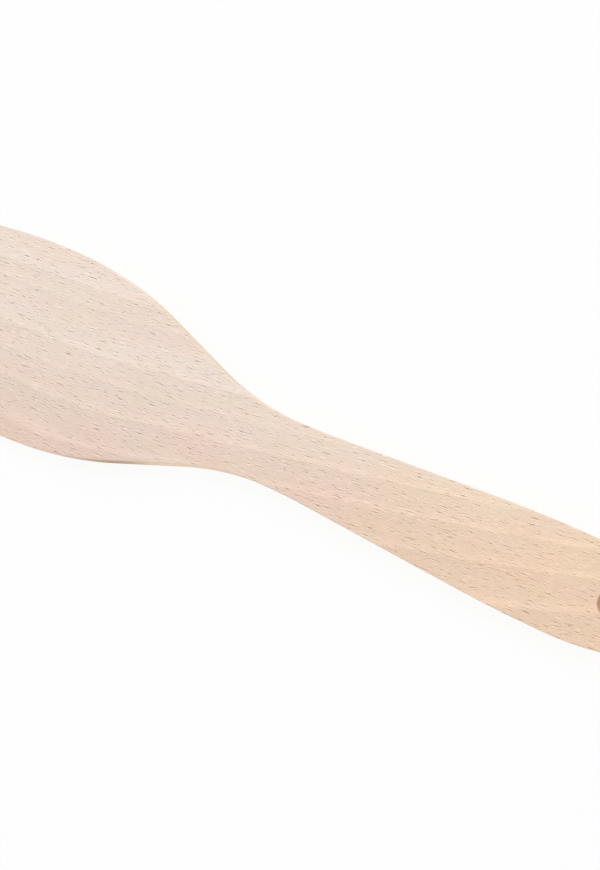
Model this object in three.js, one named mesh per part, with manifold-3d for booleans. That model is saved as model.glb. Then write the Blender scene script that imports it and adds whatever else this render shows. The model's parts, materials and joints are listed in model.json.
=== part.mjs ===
// A wooden pancake spatula: one beech board with a wide thin blade, a drawn-in neck and a handle
// that swells towards a rounded end with a hanging hole.
// Millimetres, +Z up. The flat underside lies on z = 0, the blade points to -X and the handle to +X,
// and the origin is under the middle of the board's length.
import * as THREE from "three";
import { mergeVertices } from "three/addons/utils/BufferGeometryUtils.js";
import Module from "manifold-3d";

// Stations along the board, each measured from the nearer end
const OVERALL_LENGTH = 290;
const BLADE_WIDEST_FROM_TIP = 49.5;
const TAPER_START_FROM_TIP = 100;
const NECK_FROM_TIP = 148.8;
const HANDLE_WIDEST_FROM_END = 32.2;

// Widths across the board
const BLADE_WIDTH = 67.2;
const NECK_WIDTH = 23.6;
const HANDLE_WIDTH = 34.1;

// Radii of the outline seen from above, from the front edge to the handle's end
const FRONT_RADIUS = 120;
const CORNER_RADIUS = 13;
const BLADE_SIDE_RADIUS = 237;
const SHOULDER_RADIUS = 129;
const NECK_TO_BLADE_RADIUS = 94;
const NECK_TO_HANDLE_RADIUS = 268;
const SWELL_RADIUS = 545;
const END_RADIUS = 15.4;

// Thickness seen from the side: the top face bends down over the blade, then runs straight to the tip
const BOARD_THICKNESS = 6.5;
const TIP_THICKNESS = 1.8;
const TAPER_BEND_RADIUS = 800;

// The hanging hole shares its centre with the rounded end of the handle
const HOLE_DIAMETER = 10;

// Eased edges, limited to a share of the thickness where the board is thin
const EDGE_RADIUS = 0.4;
const HOLE_RIM_RADIUS = 0.4;
const EDGE_SHARE_OF_THICKNESS = 0.48;
const END_SHARE_OF_HANDLE = 0.95;

// Fineness of the facets
const CHORD_ERROR = 0.02;
const EDGE_STEPS = 4;
const HOLE_SEGMENTS = 48;
const CUTTER_OVERRUN = 0.05;
const CUTTER_REACH = 2;

// Beech, sanded fine and left matt
const BEECH_COLOUR = 0xead6c5;
const BEECH_ROUGHNESS = 0.6;

const TIP_X = -OVERALL_LENGTH / 2;
const END_X = OVERALL_LENGTH / 2;
const END_ROUND = Math.min(END_RADIUS, (END_SHARE_OF_HANDLE * HANDLE_WIDTH) / 2);
const HOLE_X = END_X - END_ROUND;

const QUARTER_TURN = Math.PI / 2;

// Stations on a round stretch of the outline: a point with its outward normal. The angles run as the
// outline does, clockwise over a bulge and counter-clockwise round a hollow.
function arcStations(centre, radius, from, to) {
  const hollow = to > from;
  const arc = new THREE.EllipseCurve(centre.x, centre.y, radius, radius, from, to, !hollow);
  const widestStep = 2 * Math.acos(1 - CHORD_ERROR / radius);
  const steps = Math.max(1, Math.ceil(Math.abs(to - from) / widestStep));
  const outward = (hollow ? -1 : 1) / radius;
  return arc.getPoints(steps).map((point) => ({
    point,
    normal: point.clone().sub(centre).multiplyScalar(outward),
  }));
}

// The stretch between two stations where the outline runs along the board: an arc leaves the first,
// a straight line touches both arcs, and an arc of the other sense arrives at the second.
function bendStations(start, finish, startRadius, finishRadius) {
  const run = finish.x - start.x;
  const rise = Math.abs(finish.y - start.y);
  const upward = finish.y > start.y;
  const roomForRadii = (run * run + rise * rise) / (2 * rise);
  const limit = Math.min(1, roomForRadii / (startRadius + finishRadius));
  const r0 = startRadius * limit;
  const r1 = finishRadius * limit;
  const across = r0 + r1 - rise;
  const reach = Math.hypot(run, across);
  const slope = Math.atan2(run, across) - Math.acos(Math.min(1, (r0 + r1) / reach));
  if (upward) {
    const hollowCentre = new THREE.Vector2(start.x, start.y + r0);
    const bulgeCentre = new THREE.Vector2(finish.x, finish.y - r1);
    return [
      ...arcStations(hollowCentre, r0, -QUARTER_TURN, -QUARTER_TURN + slope),
      ...arcStations(bulgeCentre, r1, QUARTER_TURN + slope, QUARTER_TURN),
    ];
  }
  const bulgeCentre = new THREE.Vector2(start.x, start.y - r0);
  const hollowCentre = new THREE.Vector2(finish.x, finish.y + r1);
  return [
    ...arcStations(bulgeCentre, r0, QUARTER_TURN, QUARTER_TURN - slope),
    ...arcStations(hollowCentre, r1, -QUARTER_TURN - slope, -QUARTER_TURN),
  ];
}

// The front of the blade: the bowed front edge, the rounded corner that touches it from inside, and
// the side that the corner also touches, as far as the blade's widest station.
function bladeFrontStations(widest) {
  const frontCentre = new THREE.Vector2(TIP_X + FRONT_RADIUS, 0);
  const sideCentre = new THREE.Vector2(widest.x, widest.y - BLADE_SIDE_RADIUS);
  const toFront = FRONT_RADIUS - CORNER_RADIUS;
  const toSide = BLADE_SIDE_RADIUS - CORNER_RADIUS;
  const between = sideCentre.clone().sub(frontCentre);
  const gap = between.length();
  const along = (toFront * toFront - toSide * toSide + gap * gap) / (2 * gap);
  const aside = Math.sqrt(toFront * toFront - along * along);
  const unit = between.divideScalar(gap);
  const cornerCentre = new THREE.Vector2(
    frontCentre.x + along * unit.x + aside * unit.y,
    frontCentre.y + along * unit.y - aside * unit.x,
  );
  const frontEnd = cornerCentre.clone().sub(frontCentre).angle();
  const sideStart = cornerCentre.clone().sub(sideCentre).angle();
  return [
    ...arcStations(frontCentre, FRONT_RADIUS, Math.PI, frontEnd),
    ...arcStations(cornerCentre, CORNER_RADIUS, frontEnd, sideStart),
    ...arcStations(sideCentre, BLADE_SIDE_RADIUS, sideStart, QUARTER_TURN),
  ];
}

// The end of the handle: a side arc from the widest station that touches the round end from outside.
function handleEndStations(widest) {
  const endCentre = new THREE.Vector2(END_X - END_ROUND, 0);
  const run = endCentre.x - widest.x;
  const sideRadius =
    (run * run + widest.y * widest.y - END_ROUND * END_ROUND) / (2 * (widest.y - END_ROUND));
  const sideCentre = new THREE.Vector2(widest.x, widest.y - sideRadius);
  const touch = endCentre.clone().sub(sideCentre).angle();
  return [
    ...arcStations(sideCentre, sideRadius, QUARTER_TURN, touch),
    ...arcStations(endCentre, END_ROUND, touch, 0),
  ];
}

// Half of the outline, from the middle of the front edge over the +Y side to the end of the handle.
function halfOutline() {
  const bladeWidest = new THREE.Vector2(TIP_X + BLADE_WIDEST_FROM_TIP, BLADE_WIDTH / 2);
  const neck = new THREE.Vector2(TIP_X + NECK_FROM_TIP, NECK_WIDTH / 2);
  const handleWidest = new THREE.Vector2(END_X - HANDLE_WIDEST_FROM_END, HANDLE_WIDTH / 2);
  const stations = [
    ...bladeFrontStations(bladeWidest),
    ...bendStations(bladeWidest, neck, SHOULDER_RADIUS, NECK_TO_BLADE_RADIUS),
    ...bendStations(neck, handleWidest, NECK_TO_HANDLE_RADIUS, SWELL_RADIUS),
    ...handleEndStations(handleWidest),
  ];
  return stations.filter(
    ({ point }, i) => i === 0 || point.distanceTo(stations[i - 1].point) > CHORD_ERROR,
  );
}

// Height of the top face: level over the handle, then a bend of TAPER_BEND_RADIUS into a straight
// fall that reaches TIP_THICKNESS at the front edge.
function topHeight(x) {
  const fall = BOARD_THICKNESS - TIP_THICKNESS;
  const room = TAPER_START_FROM_TIP ** 2 - 2 * TAPER_BEND_RADIUS * fall;
  const bend = TAPER_START_FROM_TIP - Math.sqrt(Math.max(0, room));
  const bendRadius = (TAPER_START_FROM_TIP * bend - bend ** 2 / 2) / fall;
  const past = THREE.MathUtils.clamp(TIP_X + TAPER_START_FROM_TIP - x, 0, TAPER_START_FROM_TIP);
  const bent = Math.min(past, bend);
  return BOARD_THICKNESS - (bent ** 2 / 2 + bend * (past - bent)) / bendRadius;
}

// Rings of points round the board: down the eased top edge, then round the eased bottom edge.
// A ring runs over the +Y side from the front to the handle's end and back along the -Y side.
function edgeRings(stations) {
  const rings = [];
  for (const top of [true, false]) {
    for (let step = 0; step <= EDGE_STEPS; step++) {
      const turn = (QUARTER_TURN * step) / EDGE_STEPS;
      const angle = top ? QUARTER_TURN - turn : turn;
      const half = stations.map(({ point, normal }) => {
        const height = topHeight(point.x);
        const radius = Math.min(EDGE_RADIUS, EDGE_SHARE_OF_THICKNESS * height);
        const inset = radius * (1 - Math.cos(angle));
        const drop = radius * (1 - Math.sin(angle));
        const x = point.x - normal.x * inset;
        const y = point.y - normal.y * inset;
        return new THREE.Vector3(x, y, top ? topHeight(x) - drop : drop);
      });
      half[0].y = 0;
      half[half.length - 1].y = 0;
      const mirrored = half.slice(1, -1).reverse();
      rings.push([...half, ...mirrored.map((p) => new THREE.Vector3(p.x, -p.y, p.z))]);
    }
  }
  return rings;
}

// A closed skin: bands between neighbouring rings, and a sheet across the first and the last ring
// whose cross lines join each point to its mirror image.
function closedSkin(rings) {
  const around = rings[0].length;
  const triangles = [];
  for (let ring = 0; ring + 1 < rings.length; ring++) {
    for (let i = 0; i < around; i++) {
      const a = ring * around + i;
      const b = ring * around + ((i + 1) % around);
      triangles.push(a, b, b + around, a, b + around, a + around);
    }
  }
  const lastRing = (rings.length - 1) * around;
  for (let i = 0; i < around / 2; i++) {
    const mirrorOf = (k) => (around - k) % around;
    const corners = [mirrorOf(i), mirrorOf(i + 1), i + 1, i];
    const [a, b, c, d] = corners;
    if (b !== c) {
      triangles.push(a, b, c, lastRing + c, lastRing + b, lastRing + a);
    }
    if (a !== d) {
      triangles.push(a, c, d, lastRing + d, lastRing + c, lastRing + a);
    }
  }
  const skin = new THREE.BufferGeometry();
  skin.setFromPoints(rings.flat());
  skin.setIndex(triangles);
  return skin;
}

// A spool that cuts the hanging hole and flares at both faces, so that it leaves rounded rims.
function holeCutter() {
  const bore = HOLE_DIAMETER / 2;
  const low = -CUTTER_OVERRUN;
  const high = BOARD_THICKNESS + CUTTER_OVERRUN;
  const flare = (face, inward) =>
    Array.from({ length: EDGE_STEPS + 1 }, (_, step) => {
      const angle = (QUARTER_TURN * step) / EDGE_STEPS;
      const wider = HOLE_RIM_RADIUS * (1 - Math.cos(angle));
      const depth = HOLE_RIM_RADIUS * (1 - Math.sin(angle));
      return new THREE.Vector2(bore + wider, face + inward * depth);
    });
  const widest = bore + HOLE_RIM_RADIUS;
  const profile = [
    new THREE.Vector2(0, low - CUTTER_REACH),
    new THREE.Vector2(widest, low - CUTTER_REACH),
    ...flare(low, 1).reverse(),
    ...flare(high, -1),
    new THREE.Vector2(widest, high + CUTTER_REACH),
    new THREE.Vector2(0, high + CUTTER_REACH),
  ];
  const cutter = new THREE.LatheGeometry(profile, HOLE_SEGMENTS);
  cutter.rotateX(QUARTER_TURN);
  cutter.translate(HOLE_X, 0, 0);
  return cutter;
}

const wasm = await Module();
wasm.setup();

// A geometry's shape alone, with shared points merged, as a solid that can be cut.
function solidOf(geometry) {
  const bare = geometry.clone();
  bare.deleteAttribute("normal");
  bare.deleteAttribute("uv");
  const merged = mergeVertices(bare);
  return new wasm.Manifold(
    new wasm.Mesh({
      numProp: 3,
      vertProperties: new Float32Array(merged.attributes.position.array),
      triVerts: new Uint32Array(merged.index.array),
    }),
  );
}

function geometryOf(solid) {
  const { vertProperties, triVerts } = solid.getMesh();
  const geometry = new THREE.BufferGeometry();
  geometry.setAttribute("position", new THREE.BufferAttribute(vertProperties, 3));
  geometry.setIndex(new THREE.BufferAttribute(triVerts, 1));
  geometry.computeVertexNormals();
  return geometry;
}

function spatulaBody() {
  const board = solidOf(closedSkin(edgeRings(halfOutline())));
  const drilled = board.subtract(solidOf(holeCutter()));
  const beech = new THREE.MeshStandardMaterial({
    color: BEECH_COLOUR,
    roughness: BEECH_ROUGHNESS,
    metalness: 0,
  });
  const mesh = new THREE.Mesh(geometryOf(drilled), beech);
  mesh.name = "spatula_body";
  return mesh;
}

const spatula = new THREE.Group();
spatula.add(spatulaBody());

export default spatula;
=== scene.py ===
# %% [markdown]
# # A wooden pancake spatula
# The real object is one flat board of pale beech: a wide blade that thins to its front edge, a
# drawn-in neck, and a handle that swells towards a round end with a hanging hole. Nothing is
# joined to it, so the lesson is about one shape and one finish. The frame gives the outer sizes,
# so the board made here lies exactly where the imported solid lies.

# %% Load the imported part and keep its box
import json
import math

import bmesh
import bpy
from mathutils import Matrix, Vector


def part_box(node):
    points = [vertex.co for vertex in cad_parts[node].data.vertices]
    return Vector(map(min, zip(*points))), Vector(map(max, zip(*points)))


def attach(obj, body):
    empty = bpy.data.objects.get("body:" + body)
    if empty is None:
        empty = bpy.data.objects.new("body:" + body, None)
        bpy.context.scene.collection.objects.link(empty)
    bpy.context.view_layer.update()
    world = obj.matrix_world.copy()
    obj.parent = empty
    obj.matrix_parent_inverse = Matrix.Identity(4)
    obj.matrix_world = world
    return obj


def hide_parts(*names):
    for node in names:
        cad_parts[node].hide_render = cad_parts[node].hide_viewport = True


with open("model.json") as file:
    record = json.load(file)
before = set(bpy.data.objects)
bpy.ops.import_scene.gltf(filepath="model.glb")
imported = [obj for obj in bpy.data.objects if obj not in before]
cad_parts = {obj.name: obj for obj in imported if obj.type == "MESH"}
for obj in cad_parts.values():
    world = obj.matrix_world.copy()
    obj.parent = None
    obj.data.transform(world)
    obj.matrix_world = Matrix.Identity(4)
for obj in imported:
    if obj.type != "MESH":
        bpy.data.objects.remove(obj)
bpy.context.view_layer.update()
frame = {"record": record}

# %% [markdown]
# ## Sizes
# The length, width, thickness and the hole's place are read from the frame. The radii of the
# outline and of the eased edges can't be read from a box, so they are written here in millimetres.
# Both lists together drive every point of the mesh.

# %% Sizes of the board
MM = 0.001
low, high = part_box("spatula_body")
tip_x = low.x
end_x = high.x
blade_half_width = high.y
board_thickness = high.z
hole_low, hole_high = frame["record"]["physics"]["openings"][0]["box_m"]
hole_x = (hole_low[0] + hole_high[0]) / 2
end_radius = end_x - hole_x

blade_widest_x = tip_x + 49.5 * MM
neck_x = tip_x + 148.8 * MM
handle_widest_x = end_x - 32.2 * MM
neck_half_width = 23.6 * MM / 2
handle_half_width = 34.1 * MM / 2

front_radius = 120 * MM
corner_radius = 13 * MM
blade_side_radius = 237 * MM
shoulder_radius = 129 * MM
neck_to_blade_radius = 94 * MM
neck_to_handle_radius = 268 * MM
swell_radius = 545 * MM

tip_thickness = 1.8 * MM
taper_length = 100 * MM
taper_bend_radius = 800 * MM
edge_radius = 0.4 * MM
hole_radius = 10 * MM / 2
hole_rim_radius = 0.4 * MM
print(f"board {1000 * (end_x - tip_x):.1f} mm long, hole at x = {1000 * hole_x:.1f} mm")

# %% [markdown]
# ## The outline
# Seen from above, a maker would draw this board with a few compass arcs that touch each other:
# a bowed front, a small corner, a long side, a shoulder, a neck and a swelling handle with a round
# end. A hand-drawn list of points would show flats, so each stretch is worked out as a true arc.
# Every point also keeps its outward direction, which the eased edges need later.

# %% Arcs of the outline
STATION_STEP = 1.0 * MM
STATION_TURN = math.radians(4)
QUARTER = math.pi / 2


def arc(centre, radius, start, stop):
    """Points on a round stretch with their outward directions. A growing angle goes round a hollow."""
    turn = stop - start
    steps = max(math.ceil(abs(turn) * radius / STATION_STEP), math.ceil(abs(turn) / STATION_TURN), 1)
    outward_sign = -1 if turn > 0 else 1
    stations = []
    for step in range(steps + 1):
        angle = start + turn * step / steps
        direction = Vector((math.cos(angle), math.sin(angle)))
        stations.append((centre + radius * direction, outward_sign * direction))
    return stations


def bend(start, finish, start_radius, finish_radius):
    """Two arcs of opposite sense with a straight line that touches both."""
    run = finish.x - start.x
    rise = abs(finish.y - start.y)
    across = start_radius + finish_radius - rise
    reach = math.hypot(run, across)
    slope = math.atan2(run, across) - math.acos((start_radius + finish_radius) / reach)
    if finish.y > start.y:
        hollow = arc(start + Vector((0, start_radius)), start_radius, -QUARTER, -QUARTER + slope)
        bulge = arc(finish - Vector((0, finish_radius)), finish_radius, QUARTER + slope, QUARTER)
        return hollow + bulge
    bulge = arc(start - Vector((0, start_radius)), start_radius, QUARTER, QUARTER - slope)
    hollow = arc(finish + Vector((0, finish_radius)), finish_radius, -QUARTER - slope, -QUARTER)
    return bulge + hollow


print("stations on a quarter of the corner:", len(arc(Vector((0, 0)), corner_radius, QUARTER, 0)))


# %% Front of the blade and end of the handle
def angle_from(centre, point):
    return math.atan2(point.y - centre.y, point.x - centre.x)


def blade_front(widest):
    """The bowed front edge, the corner that touches it, and the side up to the widest place."""
    front_centre = Vector((tip_x + front_radius, 0))
    side_centre = widest - Vector((0, blade_side_radius))
    to_front = front_radius - corner_radius
    to_side = blade_side_radius - corner_radius
    between = side_centre - front_centre
    gap = between.length
    along = (to_front**2 - to_side**2 + gap**2) / (2 * gap)
    aside = math.sqrt(to_front**2 - along**2)
    unit = between / gap
    corner_centre = front_centre + along * unit + aside * Vector((unit.y, -unit.x))
    front_end = angle_from(front_centre, corner_centre)
    side_start = angle_from(side_centre, corner_centre)
    front = arc(front_centre, front_radius, math.pi, front_end)
    corner = arc(corner_centre, corner_radius, front_end, side_start)
    return front + corner + arc(side_centre, blade_side_radius, side_start, QUARTER)


def handle_end(widest):
    """A side arc that touches the round end from outside, and the quarter of the round end."""
    end_centre = Vector((hole_x, 0))
    run = end_centre.x - widest.x
    side_radius = (run**2 + widest.y**2 - end_radius**2) / (2 * (widest.y - end_radius))
    side_centre = widest - Vector((0, side_radius))
    touch = angle_from(side_centre, end_centre)
    return arc(side_centre, side_radius, QUARTER, touch) + arc(end_centre, end_radius, touch, 0)


blade_widest = Vector((blade_widest_x, blade_half_width))
handle_widest = Vector((handle_widest_x, handle_half_width))
front_count = len(blade_front(blade_widest))
end_count = len(handle_end(handle_widest))
print("stations on half the front:", front_count, "and on half the end:", end_count)

# %% The closed outline as a loop of edges
SAME_PLACE = 0.01 * STATION_STEP


def half_outline():
    """Stations from the middle of the front to the middle of the handle's end, on one side."""
    neck = Vector((neck_x, neck_half_width))
    stretches = blade_front(blade_widest)
    stretches += bend(blade_widest, neck, shoulder_radius, neck_to_blade_radius)
    stretches += bend(neck, handle_widest, neck_to_handle_radius, swell_radius)
    stretches += handle_end(handle_widest)
    kept = stretches[:1]
    for station in stretches[1:]:
        if (station[0] - kept[-1][0]).length > SAME_PLACE:
            kept.append(station)
    kept[0][0].y = 0
    kept[-1][0].y = 0
    return kept


def outline_loop():
    """A mesh of edges once round the board, with the outward direction as an attribute."""
    upper = half_outline()
    mirror = Vector((1, -1))
    lower = [(point * mirror, outward * mirror) for point, outward in reversed(upper[1:-1])]
    stations = upper + lower
    count = len(stations)
    mesh = bpy.data.meshes.new("outline")
    points = [(point.x, point.y, 0) for point, _ in stations]
    mesh.from_pydata(points, [(i, (i + 1) % count) for i in range(count)], [])
    outward = mesh.attributes.new("outward", "FLOAT_VECTOR", "POINT")
    for item, (_, direction) in zip(outward.data, stations):
        item.vector = (direction.x, direction.y, 0)
    return mesh


outline_mesh = outline_loop()
print("outline stations:", len(outline_mesh.vertices))

# %% [markdown]
# ## Wiring nodes as sums
# The board and the wood are both written as formulas, and a formula is hard to read as a list of
# nodes and links. A small class lets a socket be added, multiplied or compared in plain Python, and
# each such step places one Math node. The same class serves geometry trees and shader trees.


# %% A socket that can be reckoned with
def plug(tree, value, socket):
    """Link a wire to a socket, or set the socket where the value is a plain one."""
    if isinstance(value, Wire):
        tree.links.new(value.socket, socket)
    else:
        socket.default_value = value


def place(tree, kind, inputs=None, **settings):
    """Add a node, set its options, and plug its inputs by name or number."""
    node = tree.nodes.new(kind)
    for name, value in settings.items():
        setattr(node, name, value)
    for key, value in (inputs or {}).items():
        plug(tree, value, node.inputs[key])
    return node


class Wire:
    """A node's output socket that can be added, multiplied or compared."""

    def __init__(self, tree, socket):
        self.tree = tree
        self.socket = socket

    def math(self, operation, *others, first=None):
        terms = [self, *others] if first is None else [first, self, *others]
        node = place(self.tree, "ShaderNodeMath", dict(enumerate(terms)), operation=operation)
        return Wire(self.tree, node.outputs[0])

    def __add__(self, other):
        return self.math("ADD", other)

    def __sub__(self, other):
        return self.math("SUBTRACT", other)

    def __rsub__(self, other):
        return self.math("SUBTRACT", first=other)

    def __mul__(self, other):
        return self.math("MULTIPLY", other)

    def __truediv__(self, other):
        return self.math("DIVIDE", other)

    def __neg__(self):
        return self * -1.0

    def clamped(self):
        node = place(self.tree, "ShaderNodeClamp", {0: self})
        return Wire(self.tree, node.outputs[0])

    def eased_between(self, empty, full):
        """0 at empty, 1 at full, and a smooth step between them."""
        node = place(self.tree, "ShaderNodeMapRange", {"Value": self}, interpolation_type="SMOOTHSTEP")
        plug(self.tree, empty, node.inputs["From Min"])
        plug(self.tree, full, node.inputs["From Max"])
        return Wire(self.tree, node.outputs[0])


def split(tree, vector):
    node = place(tree, "ShaderNodeSeparateXYZ", {0: vector})
    return [Wire(tree, socket) for socket in node.outputs]


def join(tree, x, y, z):
    node = place(tree, "ShaderNodeCombineXYZ", {0: x, 1: y, 2: z})
    return Wire(tree, node.outputs[0])


print("node helpers ready")

# %% [markdown]
# ## The board as a rule
# On the real board the outline is sawn, the top face is planed down over the blade, and all edges
# are rounded over on a sander. Modelling that by hand would need many loops kept in step, so a
# Geometry Nodes tree does it from the outline: each station gives one column of points that runs
# across the top face, round the eased top edge, down the wall, round the bottom edge and back
# under the board. The hanging hole is a turned spool that is cut away.

# %% The tree's named inputs
board_tree = bpy.data.node_groups.new("spatula board", "GeometryNodeTree")
board_tree.interface.new_socket("Board", in_out="OUTPUT", socket_type="NodeSocketGeometry")
board_tree.interface.new_socket("Outline", in_out="INPUT", socket_type="NodeSocketGeometry")

fall = board_thickness - tip_thickness
bend_length = taper_length - math.sqrt(taper_length**2 - 2 * taper_bend_radius * fall)

board_sizes = {
    "Thickness": board_thickness,
    "Taper Start": tip_x + taper_length,
    "Taper Length": taper_length,
    "Bend Length": bend_length,
    "Bend Radius": taper_bend_radius,
    "Edge Radius": edge_radius,
    "Edge Share": 0.48,
    "Hole Centre": hole_x,
    "Hole Radius": hole_radius,
    "Hole Rim": hole_rim_radius,
    "Cutter Overrun": 0.02 * MM,
    "Cutter Reach": 2 * MM,
}
board_counts = {"Face Rows": 22, "Edge Rows": 7, "Hole Columns": 96}

input_keys = {}
for name in board_sizes:
    item = board_tree.interface.new_socket(name, in_out="INPUT", socket_type="NodeSocketFloat")
    input_keys[name] = item.identifier
for name in board_counts:
    item = board_tree.interface.new_socket(name, in_out="INPUT", socket_type="NodeSocketInt")
    input_keys[name] = item.identifier
finish_item = board_tree.interface.new_socket("Finish", in_out="INPUT", socket_type="NodeSocketMaterial")
input_keys["Finish"] = finish_item.identifier
entry = place(board_tree, "NodeGroupInput")
print(f"board tree inputs: {len(input_keys)}, bend of the top face {1000 * bend_length:.1f} mm long")

# %% Parts of the rule that are used more than once
WELD_DISTANCE = 0.001 * MM


def size(name):
    return Wire(board_tree, entry.outputs[name])


def top_height(x):
    """Level over the handle, a long bend down, then a straight fall to the front edge."""
    past = (size("Taper Start") - x).math("MAXIMUM", 0.0).math("MINIMUM", size("Taper Length"))
    bent = past.math("MINIMUM", size("Bend Length"))
    drop = bent * bent * 0.5 + size("Bend Length") * (past - bent)
    return size("Thickness") - drop / size("Bend Radius")


def eased(turn, radius):
    """How far a quarter-round edge stands in from the wall and lies below the face."""
    angle = (1.0 - turn) * QUARTER
    inset = radius * (1.0 - angle.math("COSINE"))
    drop = radius * (1.0 - angle.math("SINE"))
    return inset, drop


def numbered_grid(columns, rows):
    """A grid with its column and row number as fields: columns by rows of faces."""
    grid = place(board_tree, "GeometryNodeMeshGrid", {"Size X": columns, "Size Y": rows})
    plug(board_tree, columns + 1.0, grid.inputs["Vertices X"])
    plug(board_tree, rows + 1.0, grid.inputs["Vertices Y"])
    position = place(board_tree, "GeometryNodeInputPosition")
    x, y, _ = split(board_tree, Wire(board_tree, position.outputs[0]))
    column = (x + columns * 0.5).math("ROUND")
    row = (y + rows * 0.5).math("ROUND")
    return Wire(board_tree, grid.outputs["Mesh"]), column, row


def closed_skin(grid, position):
    """Move the grid's points to their places and weld the seam and the middle lines."""
    moved = place(board_tree, "GeometryNodeSetPosition", {"Geometry": grid, "Position": position})
    welded = place(board_tree, "GeometryNodeMergeByDistance", {"Distance": WELD_DISTANCE})
    board_tree.links.new(moved.outputs[0], welded.inputs["Geometry"])
    return Wire(board_tree, welded.outputs[0])


def choose(test, when_true, when_false):
    switch = place(board_tree, "GeometryNodeSwitch", input_type="FLOAT")
    plug(board_tree, test, switch.inputs["Switch"])
    plug(board_tree, when_false, switch.inputs["False"])
    plug(board_tree, when_true, switch.inputs["True"])
    return Wire(board_tree, switch.outputs[0])


print("rule helpers ready")


# %% The lofted board
def lofted_board():
    outline = Wire(board_tree, entry.outputs["Outline"])
    counted = place(board_tree, "GeometryNodeAttributeDomainSize", {"Geometry": outline})
    stations = Wire(board_tree, counted.outputs["Point Count"])
    face_rows = size("Face Rows")
    rows = (face_rows + size("Edge Rows")) * 2.0 + 1.0
    grid, column, row = numbered_grid(stations, rows)

    station = column.math("MODULO", stations)
    position = place(board_tree, "GeometryNodeInputPosition")
    outward = place(board_tree, "GeometryNodeInputNamedAttribute", {"Name": "outward"},
                    data_type="FLOAT_VECTOR")
    sampled = []
    for field in (position.outputs[0], outward.outputs[0]):
        sample = place(board_tree, "GeometryNodeSampleIndex", {"Geometry": outline, "Index": station},
                       data_type="FLOAT_VECTOR")
        board_tree.links.new(field, sample.inputs["Value"])
        sampled.append(split(board_tree, Wire(board_tree, sample.outputs[0])))
    (edge_x, edge_y, _), (out_x, out_y, _) = sampled

    from_face = row.math("MINIMUM", rows - row)
    spread = (from_face / face_rows).math("MINIMUM", 1.0)
    turn = ((from_face - face_rows) / size("Edge Rows")).clamped()
    radius = size("Edge Radius").math("MINIMUM", top_height(edge_x) * size("Edge Share"))
    inset, drop = eased(turn, radius)
    x = edge_x - out_x * inset
    y = (edge_y - out_y * inset) * spread
    is_top = row.math("LESS_THAN", rows * 0.5)
    z = choose(is_top, top_height(x) - drop, drop)
    return closed_skin(grid, join(board_tree, x, y, z))


board = lofted_board()
print("loft nodes:", len(board_tree.nodes))


# %% The spool that cuts the hanging hole
def hole_spool():
    """Round columns and rows from the middle of one end, over its flared rim, to the other end."""
    columns = size("Hole Columns")
    edge_rows = size("Edge Rows")
    rows = (edge_rows + 2.0) * 2.0 + 1.0
    grid, column, row = numbered_grid(columns, rows)
    from_end = row.math("MINIMUM", rows - row)
    turn = ((from_end - 2.0) / edge_rows).clamped()
    wider, drop = eased(turn, size("Hole Rim"))
    is_middle = from_end.math("LESS_THAN", 0.5)
    is_cap = from_end.math("LESS_THAN", 1.5)
    radius = choose(is_middle, 0.0, size("Hole Radius") + wider)
    inward = choose(is_cap, -size("Cutter Reach"), drop) - size("Cutter Overrun")
    is_low = row.math("LESS_THAN", rows * 0.5)
    z = choose(is_low, inward, size("Thickness") - inward)
    angle = column / columns * (2 * math.pi)
    x = size("Hole Centre") + radius * angle.math("COSINE")
    y = radius * angle.math("SINE")
    return closed_skin(grid, join(board_tree, x, y, z))


drilled = place(board_tree, "GeometryNodeMeshBoolean", operation="DIFFERENCE", solver="EXACT")
plug(board_tree, board, drilled.inputs["Mesh 1"])
plug(board_tree, hole_spool(), drilled.inputs["Mesh 2"])
made = Wire(board_tree, drilled.outputs["Mesh"])
for kind in ("GeometryNodeSetShadeSmooth", "GeometryNodeRealizeInstances"):
    step = place(board_tree, kind, {"Geometry": made})
    made = Wire(board_tree, step.outputs["Geometry"])
coated = place(board_tree, "GeometryNodeSetMaterial", {"Geometry": made, "Material": size("Finish")})
place(board_tree, "NodeGroupOutput", {"Board": Wire(board_tree, coated.outputs["Geometry"])})
print("board tree nodes:", len(board_tree.nodes))

# %% [markdown]
# ## Beech, as wood grows
# Beech shows three things. Growth rings are shells round the heart of the trunk, so a flat board
# cuts them into long pale lines. Rays are thin ribbons that run out from the heart, and a flat-sawn
# face cuts them into the short brown dashes that make beech easy to know. Fibres give faint
# streaks along the board. A picture of wood would only fit one face, so the wood here is a solid
# pattern that is worked out from the place in the trunk, and walls, hole and underside cut it too.


# %% Helpers for shader groups
def srgb(red, green, blue):
    """A colour as seen on a screen, 0 to 255, as linear light with full alpha."""
    def linear(level):
        share = level / 255
        return share / 12.92 if share <= 0.04045 else ((share + 0.055) / 1.055) ** 2.4

    return (linear(red), linear(green), linear(blue), 1.0)


SOCKETS = {"value": "NodeSocketFloat", "vector": "NodeSocketVector"}


def shader_group(name, inputs, outputs):
    """An empty group with named sockets, its entry wires and its exit node."""
    tree = bpy.data.node_groups.new(name, "ShaderNodeTree")
    for label, (kind, default) in inputs.items():
        item = tree.interface.new_socket(label, in_out="INPUT", socket_type=SOCKETS[kind])
        item.default_value = default
    for label, kind in outputs.items():
        tree.interface.new_socket(label, in_out="OUTPUT", socket_type=SOCKETS[kind])
    start = place(tree, "NodeGroupInput")
    wires = {label: Wire(tree, start.outputs[label]) for label in inputs}
    return tree, wires, place(tree, "NodeGroupOutput")


def noise(tree, vector, detail):
    inputs = {"Vector": vector, "Scale": 1.0, "Detail": detail}
    node = place(tree, "ShaderNodeTexNoise", inputs)
    return Wire(tree, node.outputs["Fac"])


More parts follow.
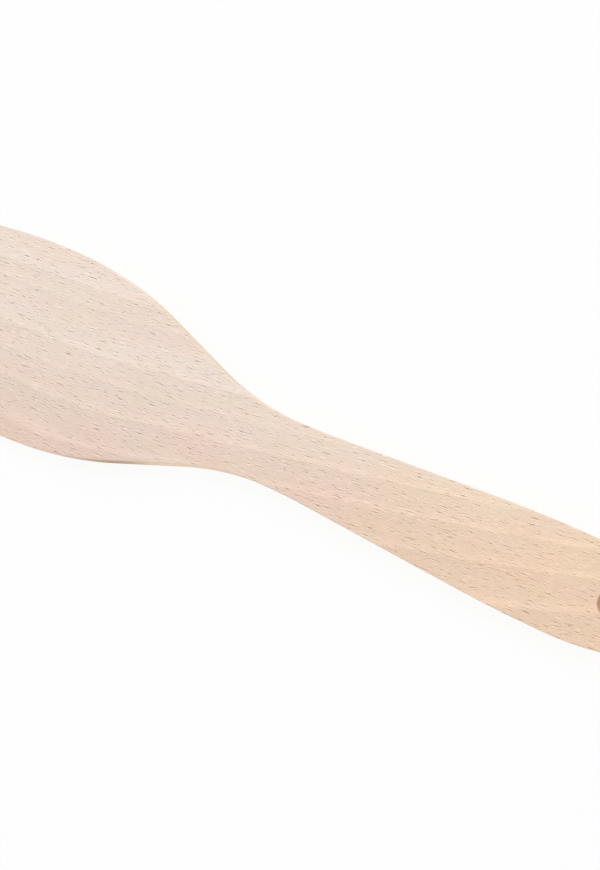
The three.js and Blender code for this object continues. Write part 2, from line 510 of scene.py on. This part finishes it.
def mix_colour(tree, blend, factor, first, second):
    node = place(tree, "ShaderNodeMix", {"Factor": factor}, data_type="RGBA", blend_type=blend)
    plug(tree, first, node.inputs["A"])
    plug(tree, second, node.inputs["B"])
    return Wire(tree, node.outputs["Result"])


print("shader helpers ready")

# %% Where a point lies in the trunk
# The height of the fibres' slow wave in millimetres, and the share of it that the rings follow.
FIBRE_WAVE = 3.0
RING_SHARE_OF_WAVE = 0.25


def trunk_frame():
    """Turns a place on the board into a place in the trunk, in millimetres.

    The heart of the trunk lies under the board and to one side, and it bows a little, as in any tree.
    The board was sawn at a slant to it, so the pale lines cross the handle from edge to edge.
    """
    inputs = {
        "Position": ("vector", (0, 0, 0)),
        "Heart Slant": ("value", 0.0671),
        "Heart Sweep": ("value", 0.00011),
        "Heart Bow": ("value", 0.00000175),
        "Heart Dip": ("value", -0.0359),
        "Heart Across": ("value", -49.63),
        "Heart Depth": ("value", 136.74),
        "Fibre Slant": ("value", 0.083),
        "Fibre Sweep": ("value", 0.00015),
    }
    outputs = {"Along": "value", "Around": "value", "Outward": "value"}
    tree, wires, leave = shader_group("trunk frame", inputs, outputs)
    to_millimetres = {0: wires["Position"], "Scale": 1 / MM}
    scaled = place(tree, "ShaderNodeVectorMath", to_millimetres, operation="SCALE")
    x, y, z = split(tree, Wire(tree, scaled.outputs[0]))

    wave_at = join(tree, x * 0.012, y * 0.03, z * 0.03)
    wave = (noise(tree, wave_at, 1.0) - 0.5) * FIBRE_WAVE
    around = y - x * (x * wires["Fibre Sweep"] + wires["Fibre Slant"]) + wave
    heart_y = x * (x * (x * wires["Heart Bow"] + wires["Heart Sweep"]) + wires["Heart Slant"])
    across = y - heart_y - wires["Heart Across"] + wave * RING_SHARE_OF_WAVE
    depth = z + x * wires["Heart Dip"] + wires["Heart Depth"]
    outward = (across * across + depth * depth).math("SQRT")
    plug(tree, x, leave.inputs["Along"])
    plug(tree, around, leave.inputs["Around"])
    plug(tree, outward, leave.inputs["Outward"])
    return tree


trunk_group = trunk_frame()
print("trunk frame nodes:", len(trunk_group.nodes))

# %% Growth rings
# Shares of one ring's width.
RING_WANDER = 0.15
RING_RAGGEDNESS = 0.16
PALE_PEAK = 0.06
PALE_STOP = 0.32
LATE_START = 0.45


def growth_rings():
    """Each ring starts with a pale line, strongest near the heart, and darkens before the next."""
    inputs = {
        "Along": ("value", 0.0),
        "Around": ("value", 0.0),
        "Outward": ("value", 0.0),
        "First Ring": ("value", 154.0),
        "Ring Width": ("value", 2.99),
    }
    outputs = {"Pale Line": "value", "Late Wood": "value", "Tone": "value"}
    tree, wires, leave = shader_group("growth rings", inputs, outputs)
    wander_at = join(tree, wires["Along"] * 0.05, wires["Around"] * 0.3, 0.0)
    wander = (noise(tree, wander_at, 1.0) - 0.5) * RING_WANDER
    ragged_at = join(tree, wires["Along"] * 0.35, wires["Around"] * 1.3, 5.0)
    ragged = (noise(tree, ragged_at, 2.0) - 0.5) * RING_RAGGEDNESS
    rings = (wires["Outward"] - wires["First Ring"]) / wires["Ring Width"] + wander + ragged
    number = rings.math("FLOOR")
    phase = rings - number
    pale = phase.eased_between(PALE_STOP, PALE_PEAK) * phase.eased_between(0.0, PALE_PEAK)
    patch_at = join(tree, wires["Along"] * 0.06, wires["Outward"] * 0.7, 2.0)
    patches = noise(tree, patch_at, 2.0).eased_between(0.3, 0.65)
    near_heart = rings.eased_between(0.5, -1.0)
    strength = (near_heart * 0.5 + 0.5) * (patches * 0.4 + 0.6)
    late = phase.eased_between(LATE_START, 1.0)
    tone = place(tree, "ShaderNodeTexWhiteNoise", {"W": number}, noise_dimensions="1D")
    plug(tree, pale * strength, leave.inputs["Pale Line"])
    plug(tree, late, leave.inputs["Late Wood"])
    plug(tree, Wire(tree, tone.outputs["Value"]), leave.inputs["Tone"])
    return tree


ring_group = growth_rings()
print("growth ring nodes:", len(ring_group.nodes))

# %% Ray flecks
# Each fleck's sizes and strength, as shares of what its layer asks for.
SHORTEST, LONGEST = 0.55, 1.85
THINNEST, THICKEST = 0.8, 1.15
FAINTEST, STRONGEST = 0.55, 0.95
# The wobble of a fleck's line and the softness of its edges, in millimetres.
FLECK_WOBBLE = 0.2
FLECK_OUTSIDE, FLECK_INSIDE = 0.015, -0.025
BORDER_INSIDE = 0.1


def ray_flecks():
    """One thin spindle in each cell of a stretched Voronoi pattern, with its own size and strength."""
    inputs = {
        "Along": ("value", 0.0),
        "Around": ("value", 0.0),
        "Cell Length": ("value", 5.0),
        "Cell Width": ("value", 1.7),
        "Half Length": ("value", 1.05),
        "Half Width": ("value", 0.08),
        "Border": ("value", 0.5),
        "Share": ("value", 0.54),
        "Seed": ("value", 0.0),
    }
    tree, wires, leave = shader_group("ray flecks", inputs, {"Fleck": "value", "Border": "value"})
    ragged_at = join(tree, wires["Along"] * 0.9, wires["Around"] * 1.2, wires["Seed"])
    around = wires["Around"] + (noise(tree, ragged_at, 1.0) - 0.5) * FLECK_WOBBLE
    u = wires["Along"] / wires["Cell Length"] + wires["Seed"]
    v = around / wires["Cell Width"] + wires["Seed"]
    cells = place(tree, "ShaderNodeTexVoronoi", {"Vector": join(tree, u, v, 0.0)}, voronoi_dimensions="2D")
    cells.inputs["Scale"].default_value = 1.0
    cell_u, cell_v, _ = split(tree, Wire(tree, cells.outputs["Position"]))
    chance = place(tree, "ShaderNodeSeparateColor", {0: Wire(tree, cells.outputs["Color"])})
    first, second, third = [Wire(tree, socket) for socket in chance.outputs]

    half_length = wires["Half Length"] * (first * first * (LONGEST - SHORTEST) + SHORTEST)
    half_width = wires["Half Width"] * (first * (THICKEST - THINNEST) + THINNEST)
    off_along = (u - cell_u) * wires["Cell Length"] / half_length
    off_across = ((v - cell_v) * wires["Cell Width"]).math("ABSOLUTE")
    girth = (1.0 - off_along * off_along).math("MAXIMUM", 0.0) * half_width
    beside = off_across - girth
    spindle = beside.eased_between(FLECK_OUTSIDE, FLECK_INSIDE)
    border = beside.eased_between(wires["Border"], BORDER_INSIDE)
    border = border * off_along.math("ABSOLUTE").eased_between(1.0, 0.6)
    strength = second * (STRONGEST - FAINTEST) + FAINTEST
    strength = strength * third.math("LESS_THAN", wires["Share"])
    plug(tree, spindle * strength, leave.inputs["Fleck"])
    plug(tree, border * strength, leave.inputs["Border"])
    return tree


fleck_group = ray_flecks()
print("ray fleck nodes:", len(fleck_group.nodes))

# %% [markdown]
# ## The finish
# The board is sanded fine and left almost raw, so it is matt and pale. The blade is the lightest
# part, the handle is warmer and shows more grain, and wood nearer to the heart is pinker. Each
# fleck has a paler border, and pale dashes lie between the flecks. Cut fibre ends drink more and
# look darker, so a wall is tinted by how squarely it crosses the fibres: golden on the shoulder that
# is far from the heart, brown on the other, and darkest at the ends and in the hole. That brown is
# mostly painted shade on the shoulder wall that faces away from the lamp, and the darkness in the
# hole is partly painted shade. The other walls are painted lighter than the face, which is painted
# light; from the neck on, only the ends and the hole take a darker tint. Rays wear faster under the
# sander than the wood between them, so the flecks are slightly sunk and go into the bump as well
# as into the colour.

# %% Where the wood and the walls lie
# How much a surface faces straight up or down.
FLAT_FACE = 0.95
UPRIGHT_WALL = 0.3

beech = bpy.data.materials.new("beech")
beech.use_nodes = True
wood = beech.node_tree
wood.nodes.clear()


def group(tree, content, inputs):
    node = place(tree, "ShaderNodeGroup", node_tree=content)
    for label, value in inputs.items():
        plug(tree, value, node.inputs[label])
    return {socket.name: Wire(tree, socket) for socket in node.outputs}


coordinates = place(wood, "ShaderNodeTexCoord")
place_on_board = Wire(wood, coordinates.outputs["Object"])
trunk = group(wood, trunk_group, {"Position": place_on_board})
along, around, outward = trunk["Along"], trunk["Around"], trunk["Outward"]
rings = group(wood, ring_group, {"Along": along, "Around": around, "Outward": outward})
facing_x, _, facing_z = split(wood, Wire(wood, coordinates.outputs["Normal"]))
wall = facing_z.math("ABSOLUTE").eased_between(FLAT_FACE, UPRIGHT_WALL)
crossing = facing_x.math("ABSOLUTE")
print("wood and walls found by", len(wood.nodes), "nodes")

# %% Flecks, dashes and soft patterns
FLECK_LAYERS = (
    (1.0, {"Seed": 3.0}),
    (0.8, {"Seed": 11.0, "Cell Length": 3.4, "Cell Width": 1.2, "Half Length": 0.88}),
    (0.35, {"Seed": 23.0, "Cell Length": 2.4, "Cell Width": 0.7, "Half Length": 0.62}),
)
flecks = borders = None
for weight, layer in FLECK_LAYERS:
    masks = group(wood, fleck_group, {"Along": along, "Around": around, **layer})
    fleck = masks["Fleck"] * weight
    border = masks["Border"] * weight
    flecks = fleck if flecks is None else flecks.math("MAXIMUM", fleck)
    borders = border if borders is None else borders.math("MAXIMUM", border)

dashes = group(wood, fleck_group, {
    "Along": along, "Around": around, "Seed": 37.0, "Cell Length": 4.0, "Cell Width": 0.8,
    "Half Length": 1.1, "Half Width": 0.11, "Share": 0.53})["Fleck"]
flecks, borders, dashes = [mask * (1.0 - wall) for mask in (flecks, borders, dashes)]


def pattern(length, width, depth, detail=2.0):
    """Soft noise with cells of this length, width and depth in millimetres, round zero."""
    at = join(wood, along / length, around / width, outward / depth)
    return noise(wood, at, detail) - 0.5


streaks = pattern(15.0, 0.5, 1.2, 3.0)
grain = pattern(0.7, 0.25, 0.8)
clouds = pattern(28.0, 10.0, 20.0)
pink = pattern(16.0, 8.0, 13.0)
yellow = pattern(19.0, 7.0, 17.0)
side_wall = wall * crossing.eased_between(0.5, 0.2)
ray_patches = pattern(2.6, 6.0, 1.1).eased_between(0.06, 0.14) * side_wall
print("wood nodes so far:", len(wood.nodes))

# %% Colour of the wood
# The heart's distances are in millimetres, as in the trunk frame.
PALE = srgb(239, 222, 209)
HANDLE_WARMTH = srgb(249, 229, 204)
WARMTH_START, WARMTH_FULL = -50 * MM, 150 * MM
HEART_TINT = (0.905, 0.815, 0.775, 1.0)
HEART_FAR, HEART_NEAR = 159.0, 144.3
RING_TINT = (0.972, 0.957, 0.945, 1.0)
PINK_SHIFT = 0.06
YELLOW_SHIFT = 0.14
FLECK_SHADE = (0.27, 0.195, 0.14, 1.0)
BLADE_GRAIN, HANDLE_GRAIN = 0.15, 0.29
GRAIN_START, GRAIN_FULL = -60 * MM, 80 * MM

x, y, _ = split(wood, place_on_board)
along_handle = x.eased_between(GRAIN_START, GRAIN_FULL)
grain_share = along_handle * (HANDLE_GRAIN - BLADE_GRAIN) + BLADE_GRAIN
lighter_and_darker = (
    (rings["Pale Line"], 0.075),
    (rings["Late Wood"], -0.025),
    (ray_patches, -0.07),
    (borders, 0.16),
    (dashes, 0.20),
    (streaks, 0.05),
    (grain, grain_share),
    (clouds, 0.08),
)

near_heart = outward.eased_between(HEART_FAR, HEART_NEAR)
warmth = x.eased_between(WARMTH_START, WARMTH_FULL)
colour = mix_colour(wood, "MIX", warmth, PALE, HANDLE_WARMTH)
colour = mix_colour(wood, "MULTIPLY", near_heart, colour, HEART_TINT)
colour = mix_colour(wood, "MULTIPLY", rings["Tone"], colour, RING_TINT)

level = 1.0
for mask, weight in lighter_and_darker:
    level = mask * weight + level
shift = pink * PINK_SHIFT
tints = {0: level + shift, 1: level - shift, 2: level - yellow * YELLOW_SHIFT}
tint = place(wood, "ShaderNodeCombineColor", tints)
colour = mix_colour(wood, "MULTIPLY", 1.0, colour, Wire(wood, tint.outputs[0]))

colour = mix_colour(wood, "MULTIPLY", flecks, colour, FLECK_SHADE)
print("face colours mixed from", len(lighter_and_darker), "patterns")

# %% Tint of the walls
# Painted light: the plain wall tint is above one, so walls come out brighter than the face, with a faint
# yellow cast, and the shaded walls at the neck and handle look lit.
PLAIN_WALL_LIGHT = (1.11, 1.10, 1.02, 1.0)
CUT_SAPWOOD = (1.0, 0.96, 0.82, 1.0)
# Partly painted shade: the cut heartwood tint is the wood's browner colour and mostly painted shade on the
# shoulder wall next to the heart, which faces away from the lamp.
CUT_HEARTWOOD_AND_SHADE = (0.595, 0.54, 0.405, 1.0)
# The end grain tint is partly the darker colour of cut fibre ends and partly painted shade for the inside
# of the hanging hole.
END_GRAIN_AND_HOLE_SHADE = (0.75, 0.625, 0.465, 1.0)
# The shoulder tints, with their painted shade, hold on the blade's side of a slanted line near the neck;
# from there on to the handle the walls keep the plain wall's painted light.
SHOULDER_TINT_STOP, SHOULDER_TINT_START = -20 * MM, -32 * MM
SHOULDER_TINT_SLANT = 0.7

shoulder_tint_reach = (x - y * SHOULDER_TINT_SLANT).eased_between(SHOULDER_TINT_STOP, SHOULDER_TINT_START)
cut_fibres_and_shade = mix_colour(wood, "MIX", near_heart, CUT_SAPWOOD, CUT_HEARTWOOD_AND_SHADE)
slightly_crossing = crossing.eased_between(0.12, 0.36) * shoulder_tint_reach
squarely_crossing = crossing.eased_between(0.45, 0.95)
# The wall tint carries the walls' painted light and painted shade as well as the wood's own tints.
wall_tint_and_light = mix_colour(wood, "MIX", slightly_crossing, PLAIN_WALL_LIGHT, cut_fibres_and_shade)
wall_tint_and_light = mix_colour(wood, "MIX", squarely_crossing, wall_tint_and_light, END_GRAIN_AND_HOLE_SHADE)
colour = mix_colour(wood, "MULTIPLY", wall, colour, wall_tint_and_light)
print("wood nodes with wall tints:", len(wood.nodes))

# %% Gloss and relief
FLECK_DEPTH = 0.08 * MM
BASE_ROUGHNESS = 0.58

height = streaks * 0.1 + grain * 0.2 - flecks
relief = place(wood, "ShaderNodeBump", {"Height": height, "Strength": 1.0, "Distance": FLECK_DEPTH})
shader = place(wood, "ShaderNodeBsdfPrincipled", {"Base Color": colour, "Specular IOR Level": 0.3})
plug(wood, streaks * 0.15 + flecks * 0.1 + BASE_ROUGHNESS, shader.inputs["Roughness"])
plug(wood, Wire(wood, relief.outputs[0]), shader.inputs["Normal"])
place(wood, "ShaderNodeOutputMaterial", {"Surface": Wire(wood, shader.outputs[0])})
print("beech nodes:", len(wood.nodes))

# %% [markdown]
# ## From the rule to a plain mesh
# The tree runs once on the outline. Its result is copied to a plain mesh, because the exported
# model keeps no modifiers, and the mesh is measured: its triangles, open edges and volume are printed.

# %% Run the board tree
outline_object = bpy.data.objects.new("outline", outline_mesh)
bpy.context.scene.collection.objects.link(outline_object)
maker = outline_object.modifiers.new("board", "NODES")
maker.node_group = board_tree
for name, value in {**board_sizes, **board_counts, "Finish": beech}.items():
    maker[input_keys[name]] = value
evaluated = outline_object.evaluated_get(bpy.context.evaluated_depsgraph_get())
board_mesh = bpy.data.meshes.new_from_object(evaluated)
outline_object.modifiers.remove(maker)
bpy.data.objects.remove(outline_object)

spatula = bpy.data.objects.new("beech_board", board_mesh)
bpy.context.scene.collection.objects.link(spatula)

probe = bmesh.new()
probe.from_mesh(board_mesh)
open_edges = sum(1 for edge in probe.edges if not edge.is_manifold)
volume = probe.calc_volume(signed=True)
probe.free()
triangles = sum(len(face.vertices) - 2 for face in board_mesh.polygons)
print(f"board: {triangles} triangles, {open_edges} open edges, {volume * 1e6:.2f} cm3")

# %% [markdown]
# ## Floor and light
# The board lies on white paper over a light table, so soft light also reaches the walls from below.
# The sky gives four fifths of the light from above, and a wide lamp beyond the far side gives the
# rest and leaves the near walls a little darker. Sky and lamp together light a level face with the
# strength at which a colour renders as it was written. The paper is shown to the camera mostly as
# plain white, and a share of it is real paper that keeps the shadow.

# %% White paper floor
WHITE = (1.0, 1.0, 1.0, 1.0)
PAPER_GREY = (0.9, 0.9, 0.9, 1.0)
GLOW_SHARE = 0.7
SEEN_GLOW_SHARE = 0.9
HALF_FLOOR = 1.5
FLOOR_HEIGHT = -0.2 * MM

floor_mesh = bpy.data.meshes.new("paper")
corners = [(-1, -1), (1, -1), (1, 1), (-1, 1)]
floor_points = [(HALF_FLOOR * side_x, HALF_FLOOR * side_y, FLOOR_HEIGHT) for side_x, side_y in corners]
floor_mesh.from_pydata(floor_points, [], [(0, 1, 2, 3)])
floor = bpy.data.objects.new("paper", floor_mesh)
bpy.context.scene.collection.objects.link(floor)


def seen_directly(tree):
    """1 where the camera, a mirror or a glass looks straight at the surface, and else 0."""
    path = place(tree, "ShaderNodeLightPath")
    seen = Wire(tree, path.outputs["Is Camera Ray"])
    for label in ("Is Glossy Ray", "Is Transmission Ray"):
        seen = seen.math("MAXIMUM", Wire(tree, path.outputs[label]))
    return seen


paper = bpy.data.materials.new("paper")
paper.use_nodes = True
sheet = paper.node_tree
sheet.nodes.clear()
matt = place(sheet, "ShaderNodeBsdfDiffuse", {"Color": PAPER_GREY})
glow = place(sheet, "ShaderNodeEmission", {"Color": WHITE, "Strength": 1.0})
glow_share = seen_directly(sheet) * (SEEN_GLOW_SHARE - GLOW_SHARE) + GLOW_SHARE
mixed = place(sheet, "ShaderNodeMixShader", {0: glow_share})
sheet.links.new(matt.outputs[0], mixed.inputs[1])
sheet.links.new(glow.outputs[0], mixed.inputs[2])
paper_out = place(sheet, "ShaderNodeOutputMaterial")
sheet.links.new(mixed.outputs[0], paper_out.inputs["Surface"])
floor_mesh.materials.append(paper)
print("paper floor placed")

# %% Sky and lamp
SKY_FILL = 0.8
LAMP_LEVEL = 0.2
LAMP_DISTANCE = 3.0
LAMP_SIZE = 1.8

world = bpy.data.worlds.new("studio")
bpy.context.scene.world = world
world.use_nodes = True
sky = world.node_tree
sky.nodes.clear()
fill = seen_directly(sky) * (1.0 - SKY_FILL) + SKY_FILL
background = place(sky, "ShaderNodeBackground", {"Color": WHITE, "Strength": fill})
sky_out = place(sky, "ShaderNodeOutputWorld")
sky.links.new(background.outputs[0], sky_out.inputs["Surface"])

lamp_direction = Vector((-0.2, 0.58, 0.8)).normalized()
lamp_data = bpy.data.lights.new("softbox", "AREA")
lamp_data.shape = "DISK"
lamp_data.size = LAMP_SIZE
lamp_data.energy = LAMP_LEVEL * (math.pi * LAMP_DISTANCE) ** 2 / lamp_direction.z
lamp = bpy.data.objects.new("softbox", lamp_data)
bpy.context.scene.collection.objects.link(lamp)
lamp.location = lamp_direction * LAMP_DISTANCE
lamp.rotation_mode = "QUATERNION"
lamp.rotation_quaternion = lamp_direction.to_track_quat("Z", "Y")
print("lamp at", [round(n, 3) for n in lamp.location])

# %% [markdown]
# ## The camera
# The photograph looks down on the board from the handle's side, 24 degrees off square, from about
# 1.2 metres, and the board slants across the upright picture. The camera's axes are worked out
# from these angles, so no shift of the lens is needed.

# %% Place the camera
CAMERA_TILT = math.radians(24)
CAMERA_ROLL = math.radians(24.243)
CAMERA_DISTANCE = 1200 * MM
FOCAL_PIXELS = 3673.4
LONG_SIDE_PIXELS = 870
SENSOR = 36.0
aim = Vector((7.0, 8.1, 3.0)) * MM

towards_camera = Vector((math.sin(CAMERA_TILT), 0, math.cos(CAMERA_TILT)))
level_right = Vector((math.cos(CAMERA_TILT), 0, -math.sin(CAMERA_TILT)))
level_up = Vector((0, 1, 0))
picture_right = math.cos(CAMERA_ROLL) * level_right + math.sin(CAMERA_ROLL) * level_up
picture_up = math.cos(CAMERA_ROLL) * level_up - math.sin(CAMERA_ROLL) * level_right

camera_data = bpy.data.cameras.new("camera")
camera_data.sensor_width = SENSOR
camera_data.lens = FOCAL_PIXELS * SENSOR / LONG_SIDE_PIXELS
camera = bpy.data.objects.new("camera", camera_data)
bpy.context.scene.collection.objects.link(camera)
axes = Matrix((picture_right, picture_up, towards_camera)).transposed().to_4x4()
camera.matrix_world = Matrix.Translation(aim + CAMERA_DISTANCE * towards_camera) @ axes
bpy.context.scene.camera = camera
bpy.context.scene.view_settings.view_transform = "Standard"
print(f"camera lens {camera_data.lens:.1f} mm")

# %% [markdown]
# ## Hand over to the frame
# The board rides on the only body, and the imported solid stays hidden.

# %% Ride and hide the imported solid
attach(spatula, "root")
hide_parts("spatula_body")

bpy.context.view_layer.update()
